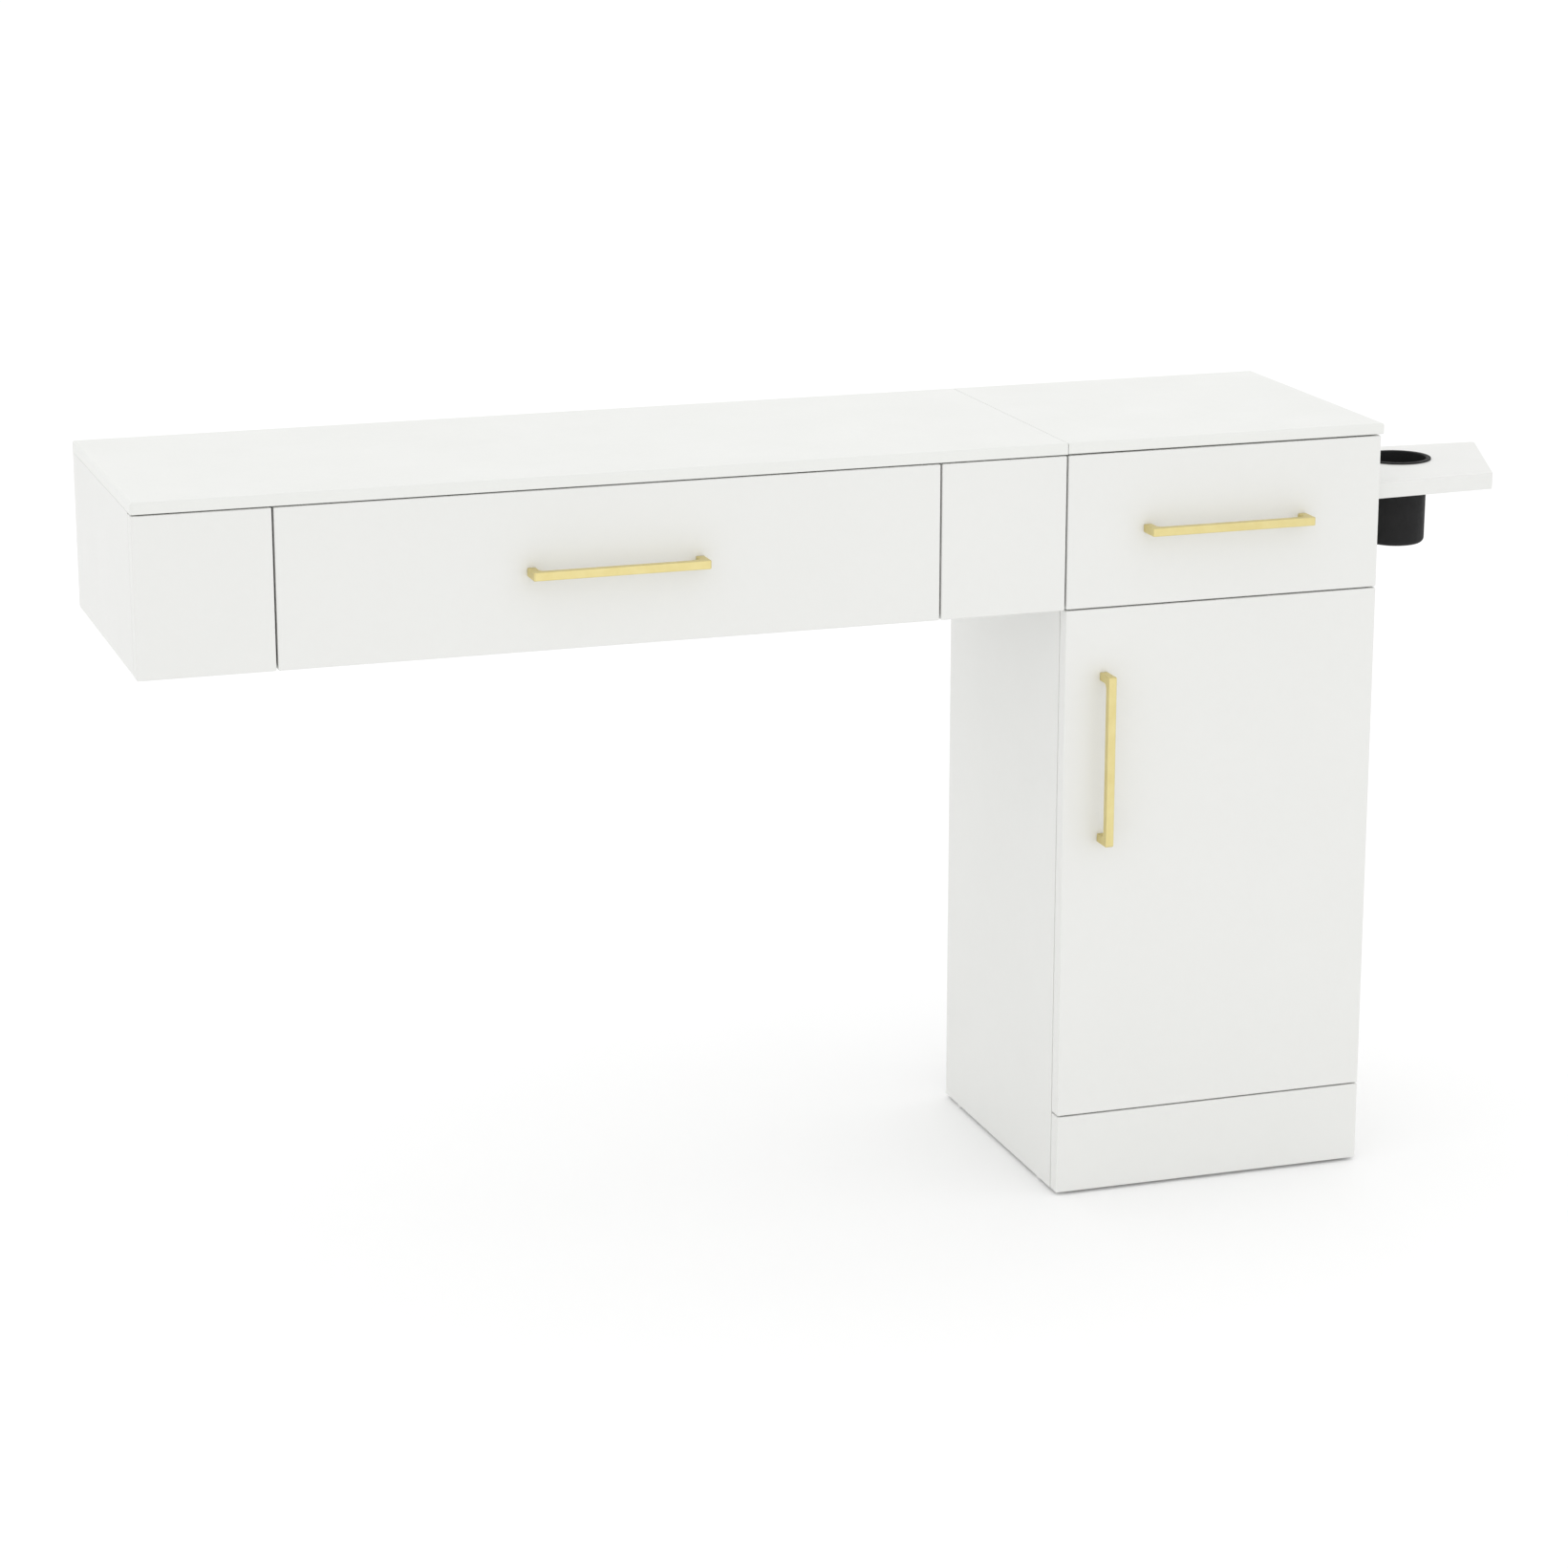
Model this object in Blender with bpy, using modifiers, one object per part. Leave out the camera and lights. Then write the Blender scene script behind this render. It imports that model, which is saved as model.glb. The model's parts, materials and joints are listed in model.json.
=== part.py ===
"""White salon workstation: a shallow wall-fixed beam with one wide drawer, joined to a floor-standing
tower with a drawer, a hinged door and a side board that holds a lift-out tool cup.

Frame, in metres: the origin is on the wall plane, behind the middle of the beam, at the beam's
mid height. +X runs from the beam towards the tower, the fronts face -Y and +Z is up.
Every height in this file is measured from the floor, and ORIGIN_HEIGHT takes it to the frame.
"""

import math

import bmesh
import bpy
from mathutils import Euler, Vector

# Driving dimensions.
HEIGHT = 0.850
DEPTH = 0.350
BEAM_LENGTH = 1.000
BEAM_HEIGHT = 0.182
TOWER_WIDTH = 0.366
WIDE_DRAWER_WIDTH = 0.712
TOE_HEIGHT = 0.092

# Boards, and the gaps beside (FRONT_GAP) and above and below (LEVEL_GAP) the fronts.
BOARD = 0.018
TOP_BOARD = 0.012
DRAWER_BOARD = 0.012
THIN_BOARD = 0.006
FRONT_GAP = 0.002
LEVEL_GAP = 0.0015
TOP_OVERHANG = 0.004
EDGE_ROUNDING = 0.0015
TOUCH = 0.0003
SEAM = 0.0005

# Handles: one square bar bent back at both ends.
HANDLE_LENGTH = 0.190
HANDLE_BAR = 0.009
HANDLE_REACH = 0.027
HANDLE_INNER_RADIUS = 0.006
DOOR_HANDLE_INSET = 0.045
DOOR_HANDLE_HEIGHT = 0.502

# Drawer boxes and their three-part ball-bearing slides.
SLIDE_SPACE = 0.013
SLIDE_LENGTH = 0.280
SLIDE_METAL = 0.0012
SLIDE_SETBACK = 0.003
BOX_DEPTH = 0.290
WIDE_BOX_LOW, WIDE_BOX_HIGH, WIDE_SLIDE_HEIGHT = 0.700, 0.812, 0.750
TOWER_BOX_LOW, TOWER_BOX_HIGH, TOWER_SLIDE_HEIGHT = 0.690, 0.790, 0.735
# Each slide member's flange tips, from the wall that the slide is on, and its half height.
CABINET_TIPS, CABINET_HALF = 0.0112, 0.0229
MIDDLE_WEB, MIDDLE_TIPS, MIDDLE_HALF = 0.0026, 0.0104, 0.0200
DRAWER_TIPS, DRAWER_HALF = 0.0050, 0.0165

# The tower's shelf, wall rail and glides.
SHELF_PLAY = 0.001
SHELF_SETBACK = 0.020
SHELF_BACK_GAP = 0.004
RAIL_HEIGHT = 0.100
GLIDE_RADIUS = 0.008
GLIDE_CHAMFER = 0.0008
GLIDE_INSET = 0.040

# Door hinges: leaves nested in one layer, with a knuckle outside the tower's right face.
HINGE_HEIGHTS = {"lower": 0.170, "upper": 0.590}
HINGE_LEAF = 0.0012
HINGE_TALL = 0.064
HINGE_WINDOW = 0.037
KNUCKLE_RADIUS = 0.0026
PIN_RADIUS = 0.0012
PIN_CLEARANCE = 0.0003

# Tool holder.
HOLDER_TOP = 0.780
HOLDER_FRONT_REACH = 0.1535
HOLDER_BACK_REACH = 0.2185
HOLDER_SETBACK = 0.0015
HOLDER_FRONT_CORNER, HOLDER_BACK_CORNER, HOLDER_BACK = -0.319, -0.147, -0.134
HOLDER_SCREWS = {"front": -0.290, "back": -0.170}
CUP_RADIUS = 0.035
CUP_LIP_RADIUS = 0.039
CUP_WALL = 0.0015
CUP_LOW = 0.685
CUP_FROM_TOWER = 0.0895
CUP_FROM_WALL = 0.208
CUP_FOOT_RADIUS = 0.007

# Bolts between the beam and the tower.
BOLTS = {"front": -0.290, "back": -0.060}
BOLT_HEIGHT = 0.806

# Places that follow from them.
ORIGIN_HEIGHT = HEIGHT - BEAM_HEIGHT / 2
BEAM_LOW = HEIGHT - BEAM_HEIGHT
UNDER_TOP = HEIGHT - TOP_BOARD
FRONT_FACE = -DEPTH
FRONT_BACK = FRONT_FACE + BOARD
CARCASS_FRONT = FRONT_BACK + SEAM
BEAM_LEFT = -BEAM_LENGTH / 2
BEAM_RIGHT = BEAM_LENGTH / 2
TOWER_LEFT = BEAM_RIGHT + SEAM
TOWER_RIGHT = TOWER_LEFT + TOWER_WIDTH
TOWER_IN_LEFT = TOWER_LEFT + BOARD
TOWER_IN_RIGHT = TOWER_RIGHT - BOARD
DIVIDER_MIDDLE = (WIDE_DRAWER_WIDTH + FRONT_GAP) / 2
TOWER_FRONT_LEFT = TOWER_LEFT + FRONT_GAP / 4
GLIDE_HEIGHT = 0.003
TOE_TOP = TOE_HEIGHT
DOOR_LOW = TOE_TOP + LEVEL_GAP
DOOR_HIGH = BEAM_LOW - LEVEL_GAP / 2
TOWER_DRAWER_LOW = BEAM_LOW + LEVEL_GAP / 2
FRONT_HIGH = UNDER_TOP - LEVEL_GAP


def fresh_scene():
    """Empties the scene and returns one collection for the parts and one for the cutters."""
    for item in list(bpy.data.objects):
        bpy.data.objects.remove(item, do_unlink=True)
    parts = bpy.data.collections.new("salon_workstation")
    cutters = bpy.data.collections.new("cutters")
    bpy.context.scene.collection.children.link(parts)
    bpy.context.scene.collection.children.link(cutters)
    return parts, cutters


def make_material(name, colour, roughness, metallic=0.0):
    material = bpy.data.materials.new(name)
    material.use_nodes = True
    shader = material.node_tree.nodes["Principled BSDF"]
    shader.inputs["Base Color"].default_value = (*colour, 1.0)
    shader.inputs["Roughness"].default_value = roughness
    shader.inputs["Metallic"].default_value = metallic
    return material


PARTS, CUTTERS = fresh_scene()
WHITE_TOP = make_material("white_top", (0.88, 0.885, 0.87), 0.45)
WHITE_BOARD = make_material("white_board", (0.83, 0.84, 0.82), 0.5)
DRAWER_BOX = make_material("drawer_box", (0.78, 0.78, 0.77), 0.6)
BACK_BOARD = make_material("back_board", (0.80, 0.80, 0.79), 0.7)
GOLD = make_material("gold", (0.83, 0.70, 0.40), 0.3, 1.0)
BLACK_CUP = make_material("black_cup", (0.02, 0.02, 0.022), 0.45)
ZINC_STEEL = make_material("zinc_steel", (0.60, 0.61, 0.62), 0.35, 1.0)
GLIDE_PLASTIC = make_material("glide_plastic", (0.75, 0.75, 0.74), 0.6)


# Shared helpers.


def point(x, y, height):
    """A place in the frame, from its height above the floor."""
    return Vector((x, y, height - ORIGIN_HEIGHT))


def axis_empty(name, x, y, height):
    """An empty on a joint's axis, which the pieces of that joint's body are parented to."""
    empty = bpy.data.objects.new(name, None)
    empty.location = point(x, y, height)
    PARTS.objects.link(empty)
    return empty


def add_piece(name, mesh, material, centre, parent=None, rotation=(0, 0, 0)):
    piece = bpy.data.objects.new(name, mesh)
    piece.data.materials.append(material)
    piece.parent = parent
    piece.location = centre - parent.location if parent else centre
    piece.rotation_euler = Euler(rotation)
    PARTS.objects.link(piece)
    return piece


def box_mesh(name, size):
    mesh = bpy.data.meshes.new(name)
    work = bmesh.new()
    bmesh.ops.create_cube(work, size=1.0)
    bmesh.ops.scale(work, vec=size, verts=work.verts)
    work.to_mesh(mesh)
    work.free()
    return mesh


def span(low_high):
    return low_high[1] - low_high[0]


def middle(low_high):
    return (low_high[0] + low_high[1]) / 2


def board(name, x, y, heights, material, parent=None, rounded=True):
    """A board between three (low, high) pairs, with its edges rounded where they can be seen."""
    mesh = box_mesh(name, (span(x), span(y), span(heights)))
    piece = add_piece(name, mesh, material, point(middle(x), middle(y), middle(heights)), parent)
    if rounded:
        round_edges(piece, EDGE_ROUNDING)
    return piece


def round_edges(piece, width, segments=2):
    bevel = piece.modifiers.new("rounded_edges", "BEVEL")
    bevel.width = width
    bevel.segments = segments
    bevel.limit_method = "ANGLE"
    bevel.angle_limit = math.radians(40)


def as_cutter(piece):
    PARTS.objects.unlink(piece)
    CUTTERS.objects.link(piece)
    piece.hide_render = True
    piece.display_type = "WIRE"
    return piece


def cut(piece, cutter):
    """Takes a cutter's volume out of a piece."""
    boolean = piece.modifiers.new(cutter.name, "BOOLEAN")
    boolean.operation = "DIFFERENCE"
    boolean.object = cutter


def box_cutter(name, x, y, heights):
    return as_cutter(board(name, x, y, heights, ZINC_STEEL, rounded=False))


def rod_cutter(name, centre, radius, length):
    """A round cutter that lies along X."""
    mesh = bpy.data.meshes.new(name)
    work = bmesh.new()
    bmesh.ops.create_cone(
        work, cap_ends=True, segments=24, radius1=radius, radius2=radius, depth=length
    )
    work.to_mesh(mesh)
    work.free()
    return as_cutter(add_piece(name, mesh, ZINC_STEEL, centre, rotation=(0, math.pi / 2, 0)))


def arc(centre, radius, start, stop, steps):
    """Points along an arc in a plane, from one angle to another in degrees."""
    turn = [math.radians(start + (stop - start) * i / steps) for i in range(steps + 1)]
    return [(centre[0] + radius * math.cos(a), centre[1] + radius * math.sin(a)) for a in turn]


def circle(centre, radius, steps):
    return arc(centre, radius, 0, 360, steps)[:-1]


def plate(name, loops, thickness, material, centre, parent=None, rotation=(0, 0, 0)):
    """A flat piece: closed outlines in its own XY plane, with its thickness along its own Z."""
    outline = bpy.data.curves.new(name, "CURVE")
    outline.dimensions = "2D"
    outline.fill_mode = "BOTH"
    outline.extrude = thickness / 2
    for loop in loops:
        spline = outline.splines.new("POLY")
        spline.points.add(len(loop) - 1)
        for spline_point, (x, y) in zip(spline.points, loop):
            spline_point.co = (x, y, 0, 1)
        spline.use_cyclic_u = True
    flat = bpy.data.objects.new(name + "_outline", outline)
    PARTS.objects.link(flat)
    graph = bpy.context.evaluated_depsgraph_get()
    mesh = bpy.data.meshes.new_from_object(flat.evaluated_get(graph))
    bpy.data.objects.remove(flat, do_unlink=True)
    mesh.name = name
    weld(mesh)
    mesh.materials.clear()
    return add_piece(name, mesh, material, centre, parent, rotation)


def weld(mesh):
    work = bmesh.new()
    work.from_mesh(mesh)
    bmesh.ops.remove_doubles(work, verts=work.verts, dist=0.00001)
    work.to_mesh(mesh)
    work.free()


def turned(name, profile, steps, material, centre, parent=None, rotation=(0, 0, 0)):
    """A round piece from (radius, height) points that run down its outer side."""
    mesh = bpy.data.meshes.new(name)
    edges = [(i, i + 1) for i in range(len(profile) - 1)]
    mesh.from_pydata([(radius, 0, height) for radius, height in profile], edges, [])
    piece = add_piece(name, mesh, material, centre, parent, rotation)
    screw = piece.modifiers.new("turned", "SCREW")
    screw.axis = "Z"
    screw.steps = steps
    screw.render_steps = steps
    screw.use_merge_vertices = True
    screw.merge_threshold = 0.00001
    screw.use_smooth_shade = False
    return piece


# The beam: an open-fronted box with a fixed panel at each end of its front.


def make_beam():
    depth = (CARCASS_FRONT, 0)
    inner = (BEAM_LEFT + BOARD + TOUCH, BEAM_RIGHT - BOARD - TOUCH)
    side_heights = (BEAM_LOW, UNDER_TOP - TOUCH)
    over_bottom = (BEAM_LOW + BOARD + TOUCH, UNDER_TOP - TOUCH)
    front_heights = (BEAM_LOW, FRONT_HIGH)
    board("beam_top", (BEAM_LEFT, BEAM_RIGHT), (FRONT_FACE, 0), (UNDER_TOP, HEIGHT), WHITE_TOP)
    board("beam_left_side", (BEAM_LEFT, BEAM_LEFT + BOARD), depth, side_heights, WHITE_BOARD)
    right_side = board(
        "beam_right_side", (BEAM_RIGHT - BOARD, BEAM_RIGHT), depth, side_heights, WHITE_BOARD
    )
    board("beam_bottom", inner, depth, (BEAM_LOW, BEAM_LOW + BOARD), WHITE_BOARD)
    board("beam_back_panel", inner, (-BOARD, 0), over_bottom, WHITE_BOARD, rounded=False)
    for side, x in (("left", -DIVIDER_MIDDLE), ("right", DIVIDER_MIDDLE)):
        board(
            f"beam_{side}_divider",
            (x - BOARD / 2, x + BOARD / 2),
            (CARCASS_FRONT, -BOARD - TOUCH),
            over_bottom,
            WHITE_BOARD,
            rounded=False,
        )
    front = (FRONT_FACE, FRONT_BACK)
    filler_edge = DIVIDER_MIDDLE + FRONT_GAP / 2
    board("beam_left_front", (BEAM_LEFT, -filler_edge), front, front_heights, WHITE_BOARD)
    right_front = (filler_edge, TOWER_FRONT_LEFT - FRONT_GAP)
    board("beam_right_front", right_front, front, front_heights, WHITE_BOARD)
    return right_side


# Drawers: a front that closes the box, two sides, a back, a bottom and a pair of slides.


def make_drawer(name, front_x, front_heights, opening, box_heights, slide_height):
    """A drawer that fills the opening between two upright faces."""
    axis = axis_empty(f"{name}_axis", middle(opening), FRONT_BACK, slide_height)
    middle_axis = axis_empty(f"{name}_middle_axis", middle(opening), CARCASS_FRONT, slide_height)
    left, right = opening[0] + SLIDE_SPACE, opening[1] - SLIDE_SPACE
    box_front = FRONT_BACK + TOUCH
    box_back = box_front + BOX_DEPTH
    inside = (left + DRAWER_BOARD + TOUCH, right - DRAWER_BOARD - TOUCH)
    front = (FRONT_FACE, FRONT_BACK)
    board(f"{name}_front", front_x, front, front_heights, WHITE_BOARD, axis)
    sides = {"left": (left, left + DRAWER_BOARD), "right": (right - DRAWER_BOARD, right)}
    for side, x in sides.items():
        board(f"{name}_{side}_side", x, (box_front, box_back), box_heights, DRAWER_BOX, axis)
    back = (box_back - DRAWER_BOARD, box_back)
    board(f"{name}_back", inside, back, box_heights, DRAWER_BOX, axis)
    bottom_low = box_heights[0] + DRAWER_BOARD / 2
    bottom = (box_front, back[0] - TOUCH)
    heights = (bottom_low, bottom_low + THIN_BOARD)
    board(f"{name}_bottom", inside, bottom, heights, DRAWER_BOX, axis, rounded=False)
    make_handle(f"{name}_handle", middle(front_x), middle(front_heights), axis)
    for side, wall, towards in (("left", opening[0], 1), ("right", opening[1], -1)):
        make_slide(f"{name}_{side}_slide", wall, towards, slide_height, axis, middle_axis)


def channel(web, reach, half_height):
    """The section of a slide member: a web and two flanges, as (across, up) points."""
    inner = web + SLIDE_METAL * math.copysign(1, reach - web)
    flange = half_height - SLIDE_METAL
    return [
        (web, -half_height),
        (reach, -half_height),
        (reach, -flange),
        (inner, -flange),
        (inner, flange),
        (reach, flange),
        (reach, half_height),
        (web, half_height),
    ]


def make_slide(name, wall, towards, height, drawer_axis, middle_axis):
    """Three nested channels: one on the cabinet, one between, and one on the drawer's side."""
    length_middle = CARCASS_FRONT + SLIDE_SETBACK + SLIDE_LENGTH / 2
    members = {
        "cabinet_member": (channel(TOUCH, CABINET_TIPS, CABINET_HALF), None),
        "middle_member": (channel(MIDDLE_WEB, MIDDLE_TIPS, MIDDLE_HALF), middle_axis),
        "drawer_member": (channel(SLIDE_SPACE - TOUCH, DRAWER_TIPS, DRAWER_HALF), drawer_axis),
    }
    for member, (section, parent) in members.items():
        outline = [(across * towards, up) for across, up in section]
        plate(
            f"{name}_{member}",
            [outline],
            SLIDE_LENGTH,
            ZINC_STEEL,
            point(wall, length_middle, height),
            parent,
            rotation=(math.pi / 2, 0, 0),
        )


def handle_outline():
    """The handle seen along its bar's width: a long bar with a post at each end."""
    half = HANDLE_LENGTH / 2
    inner_half = half - HANDLE_BAR
    radius = HANDLE_INNER_RADIUS
    hollow = HANDLE_REACH - HANDLE_BAR
    outer = [(-half, 0), (-half, -HANDLE_REACH), (half, -HANDLE_REACH), (half, 0)]
    right = arc((inner_half - radius, radius - hollow), radius, 0, -90, 4)
    left = arc((radius - inner_half, radius - hollow), radius, -90, -180, 4)
    return outer + [(inner_half, 0)] + right + left + [(-inner_half, 0)]


def make_handle(name, x, height, parent, upright=False):
    """A bar handle on the front faces, lying along X or standing upright."""
    turn = (0, math.pi / 2, 0) if upright else (0, 0, 0)
    centre = point(x, FRONT_FACE - TOUCH, height)
    handle = plate(name, [handle_outline()], HANDLE_BAR, GOLD, centre, parent, rotation=turn)
    round_edges(handle, 0.0012, 2)


# The tower: an upright cupboard on four glides, with its own top.


def make_tower():
    depth = (CARCASS_FRONT, 0)
    inner = (TOWER_IN_LEFT + TOUCH, TOWER_IN_RIGHT - TOUCH)
    inner_depth = (CARCASS_FRONT, -THIN_BOARD - TOUCH)
    side_heights = (GLIDE_HEIGHT + TOUCH, UNDER_TOP - TOUCH)
    top_x = (TOWER_LEFT, TOWER_RIGHT + TOP_OVERHANG)
    board("tower_top", top_x, (FRONT_FACE, 0), (UNDER_TOP, HEIGHT), WHITE_TOP)
    left_side = board(
        "tower_left_side", (TOWER_LEFT, TOWER_IN_LEFT), depth, side_heights, WHITE_BOARD
    )
    right_side = board(
        "tower_right_side", (TOWER_IN_RIGHT, TOWER_RIGHT), depth, side_heights, WHITE_BOARD
    )
    floor_heights = (TOE_TOP, TOE_TOP + BOARD)
    mid_heights = (BEAM_LOW - BOARD / 2, BEAM_LOW + BOARD / 2)
    board("tower_floor_panel", inner, inner_depth, floor_heights, WHITE_BOARD, rounded=False)
    board("tower_mid_panel", inner, inner_depth, mid_heights, WHITE_BOARD, rounded=False)
    back_heights = (floor_heights[0], UNDER_TOP - TOUCH)
    board("tower_back_panel", inner, (-THIN_BOARD, 0), back_heights, BACK_BOARD, rounded=False)
    rail_y = (inner_depth[1] - BOARD, inner_depth[1])
    rail_heights = (UNDER_TOP - RAIL_HEIGHT, UNDER_TOP - TOUCH)
    board("tower_wall_rail", inner, rail_y, rail_heights, WHITE_BOARD, rounded=False)
    shelf_x = (inner[0] + SHELF_PLAY, inner[1] - SHELF_PLAY)
    shelf_y = (CARCASS_FRONT + SHELF_SETBACK, inner_depth[1] - SHELF_BACK_GAP)
    shelf_middle = (floor_heights[1] + mid_heights[0]) / 2
    shelf_heights = (shelf_middle - BOARD / 2, shelf_middle + BOARD / 2)
    board("tower_shelf", shelf_x, shelf_y, shelf_heights, WHITE_BOARD, rounded=False)
    toe_x = (TOWER_FRONT_LEFT, TOWER_RIGHT)
    toe_heights = (GLIDE_HEIGHT + TOUCH, TOE_TOP)
    board("toe_panel", toe_x, (FRONT_FACE, FRONT_BACK), toe_heights, WHITE_BOARD)
    make_glides()
    return left_side, right_side


def make_glides():
    """Flat plastic glides under the front and back of both tower sides."""
    profile = [(0, GLIDE_HEIGHT), (GLIDE_RADIUS, GLIDE_HEIGHT), (GLIDE_RADIUS, GLIDE_CHAMFER)]
    profile += [(GLIDE_RADIUS - GLIDE_CHAMFER, 0), (0, 0)]
    for side, x in (("left", TOWER_LEFT + BOARD / 2), ("right", TOWER_RIGHT - BOARD / 2)):
        for end, y in (("front", CARCASS_FRONT + GLIDE_INSET), ("back", -GLIDE_INSET)):
            turned(f"glide_{end}_{side}", profile, 24, GLIDE_PLASTIC, point(x, y, 0))


# The door, its handle and its two hinges.


def hinge_section(width):
    """A leaf seen along its pin: a strip that ends in a round knuckle with the pin's hole."""
    half = HINGE_LEAF / 2
    lean = math.degrees(math.asin(half / KNUCKLE_RADIUS))
    knuckle = arc((0, 0), KNUCKLE_RADIUS, lean - 180, 180 - lean, 20)
    hole = circle((0, 0), PIN_RADIUS + PIN_CLEARANCE, 16)
    return [[(-width, half), (-width, -half)] + knuckle, hole]


def make_door(right_side):
    hinge_y = FRONT_BACK + TOUCH + HINGE_LEAF / 2
    hinge_x = TOWER_RIGHT + KNUCKLE_RADIUS + TOUCH
    axis = axis_empty("door_axis", hinge_x, hinge_y, middle((DOOR_LOW, DOOR_HIGH)))
    door_x = (TOWER_FRONT_LEFT, TOWER_RIGHT)
    front = (FRONT_FACE, FRONT_BACK)
    board("door_panel", door_x, front, (DOOR_LOW, DOOR_HIGH), WHITE_BOARD, axis)
    handle_x = TOWER_LEFT + DOOR_HANDLE_INSET
    make_handle("door_handle", handle_x, DOOR_HANDLE_HEIGHT, axis, upright=True)
    for place, height in HINGE_HEIGHTS.items():
        make_hinge(place, point(hinge_x, hinge_y, height), height, axis, right_side)


def make_hinge(place, centre, height, door_axis, right_side):
    """A flush hinge: the door's leaf lies inside the window of the frame's leaf."""
    frame_width = centre.x - TOWER_IN_RIGHT - 0.001
    window_edge = centre.x - frame_width + 0.004
    window = box_cutter(
        f"hinge_{place}_window",
        (window_edge, centre.x + 2 * KNUCKLE_RADIUS),
        (centre.y - 2 * KNUCKLE_RADIUS, centre.y + 2 * KNUCKLE_RADIUS),
        (height - HINGE_WINDOW / 2, height + HINGE_WINDOW / 2),
    )
    name = f"hinge_{place}_frame_leaf"
    frame_leaf = plate(name, hinge_section(frame_width), HINGE_TALL, ZINC_STEEL, centre)
    cut(frame_leaf, window)
    door_width = centre.x - window_edge - SEAM
    door_tall = HINGE_WINDOW - 2 * SEAM
    name = f"hinge_{place}_door_leaf"
    plate(name, hinge_section(door_width), door_tall, ZINC_STEEL, centre, door_axis)
    make_hinge_pin(f"hinge_{place}_pin", centre)
    recess = box_cutter(
        f"hinge_{place}_recess",
        (TOWER_IN_RIGHT - SEAM, TOWER_RIGHT + SEAM),
        (CARCASS_FRONT - SEAM, centre.y + HINGE_LEAF / 2 + TOUCH),
        (height - HINGE_TALL / 2 - SEAM, height + HINGE_TALL / 2 + SEAM),
    )
    cut(right_side, recess)


def make_hinge_pin(name, centre):
    """A straight pin with a domed head just outside each end knuckle."""
    half = HINGE_TALL / 2 + TOUCH
    head = KNUCKLE_RADIUS - TOUCH
    dome = arc((0, half + head * 0.2), head * 0.8, 90, 0, 3)
    profile = dome + [(PIN_RADIUS, half + head * 0.1)]
    profile += [(radius, -height) for radius, height in reversed(profile)]
    turned(name, profile, 16, ZINC_STEEL, centre)


# The tool holder: a board with an angled end, its two screws and the cup.


def make_tool_holder(right_side):
    start = TOWER_RIGHT + TOUCH
    corners = [
        (start, CARCASS_FRONT + HOLDER_SETBACK),
        (TOWER_RIGHT + HOLDER_FRONT_REACH, HOLDER_FRONT_CORNER),
        (TOWER_RIGHT + HOLDER_BACK_REACH, HOLDER_BACK_CORNER),
        (start, HOLDER_BACK),
    ]
    cup_x = TOWER_RIGHT + CUP_FROM_TOWER
    cup_y = -CUP_FROM_WALL
    hole = circle((cup_x, cup_y), CUP_RADIUS + SEAM, 40)
    centre = point(0, 0, HOLDER_TOP - BOARD / 2)
    holder = plate("holder_board", [corners, hole], BOARD, WHITE_BOARD, centre)
    round_edges(holder, EDGE_ROUNDING)
    for place, y in HOLDER_SCREWS.items():
        make_holder_screw(place, y, centre.z, holder, right_side)
    make_cup(cup_x, cup_y)


def make_holder_screw(place, y, z, holder, right_side):
    """A screw from inside the tower, through its side and into the edge of the holder board."""
    shank, head = 0.0020, 0.0048
    length = BOARD + 0.035
    profile = [(0, 0.002), (head * 0.7, 0.0018), (head, 0.0008), (head, 0), (shank, 0)]
    profile += [(shank, -length + shank), (0, -length)]
    seat = Vector((TOWER_IN_RIGHT - TOUCH, y, z))
    turn = (0, -math.pi / 2, 0)
    turned(f"holder_screw_{place}", profile, 16, ZINC_STEEL, seat, rotation=turn)
    bore = rod_cutter(
        f"holder_screw_{place}_hole",
        seat + Vector((length / 2, 0, 0)),
        shank + TOUCH,
        length + 4 * TOUCH,
    )
    cut(right_side, bore)
    cut(holder, bore)


def make_cup(x, y):
    """A straight round cup with a flat lip that rests on the board and a rounded bottom edge."""
    axis = axis_empty("cup_axis", x, y, HOLDER_TOP)
    lip_low = HOLDER_TOP + TOUCH
    lip_high = lip_low + CUP_WALL
    inner = CUP_RADIUS - CUP_WALL
    outer_foot = CUP_FOOT_RADIUS
    foot = arc((CUP_RADIUS - outer_foot, CUP_LOW + outer_foot), outer_foot, 0, -90, 4)
    inner_low = CUP_LOW + CUP_WALL
    inner_corner = outer_foot - CUP_WALL
    inner_foot = arc((inner - inner_corner, inner_low + inner_corner), inner_corner, -90, 0, 4)
    profile = [(0, inner_low)] + inner_foot
    profile += [(inner, lip_high - CUP_WALL / 2), (inner + CUP_WALL / 2, lip_high)]
    profile += [(CUP_LIP_RADIUS - CUP_WALL / 3, lip_high), (CUP_LIP_RADIUS, lip_high - CUP_WALL / 3)]
    profile += [(CUP_LIP_RADIUS, lip_low), (CUP_RADIUS, lip_low)]
    profile += foot + [(0, CUP_LOW)]
    profile = [(radius, height - HOLDER_TOP) for radius, height in profile]
    turned("tool_cup", profile, 40, BLACK_CUP, point(x, y, HOLDER_TOP), axis)


# Bolts that join the beam to the tower.


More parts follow.
